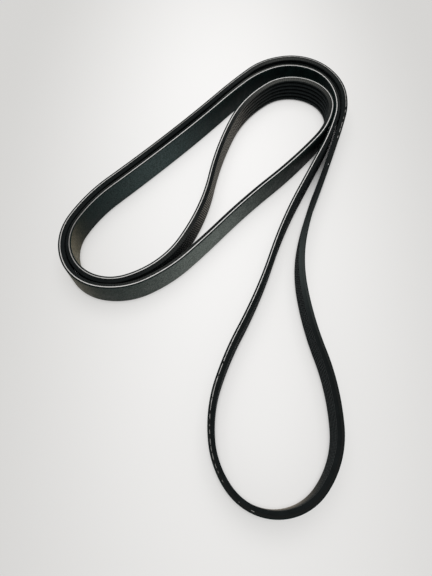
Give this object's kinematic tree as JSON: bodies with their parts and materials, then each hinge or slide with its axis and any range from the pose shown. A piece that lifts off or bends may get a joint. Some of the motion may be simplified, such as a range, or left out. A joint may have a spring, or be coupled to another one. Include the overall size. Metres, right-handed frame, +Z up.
{
  "type": "v-ribbed belt",
  "caption": "Endless ribbed rubber drive belt standing on its edge, laid in a double-turned coil with one free teardrop loop; ribbed inside, smooth outside.",
  "frame": {"origin": "centre of the bounding box's bottom face, on the table the belt stands on", "axes": "+Z up, across the belt's width; +Y from the tip of the free loop to the coil; +X to the picture's right"},
  "size_m": [0.2246, 0.3628, 0.0214],
  "materials": {
    "cover_rubber": "matt, finely mottled",
    "gum_rubber": "matt, as cut",
    "cord": "cut polyester fibre ends",
    "rib_rubber": "matt, ground, with short fibres"
  },
  "bodies": {
    "coil": {"back_cover_coil": "cover_rubber", "upper_gum_coil": "gum_rubber", "tensile_cord_coil": "cord", "lower_gum_coil": "gum_rubber", "rib_body_coil": "rib_rubber", "back_cover_lead_in": "cover_rubber", "upper_gum_lead_in": "gum_rubber", "tensile_cord_lead_in": "cord", "lower_gum_lead_in": "gum_rubber", "rib_body_lead_in": "rib_rubber", "back_cover_lead_out": "cover_rubber", "upper_gum_lead_out": "gum_rubber", "tensile_cord_lead_out": "cord", "lower_gum_lead_out": "gum_rubber", "rib_body_lead_out": "rib_rubber"},
    "loop": {"back_cover_loop": "cover_rubber", "upper_gum_loop": "gum_rubber", "tensile_cord_loop": "cord", "lower_gum_loop": "gum_rubber", "rib_body_loop": "rib_rubber"}
  },
  "joints": [
    {"name": "loop_swing", "type": "hinge", "parent": "coil", "child": "loop", "pos_m": [0.0799, 0.05619, 0.01068], "axis": [0, 0, 1], "range_deg": [-15, 25], "stiffness_Nm_per_rad": 0.4, "deforming": ["back_cover_lead_in", "upper_gum_lead_in", "tensile_cord_lead_in", "lower_gum_lead_in", "rib_body_lead_in", "back_cover_lead_out", "upper_gum_lead_out", "tensile_cord_lead_out", "lower_gum_lead_out", "rib_body_lead_out"]}
  ]
}
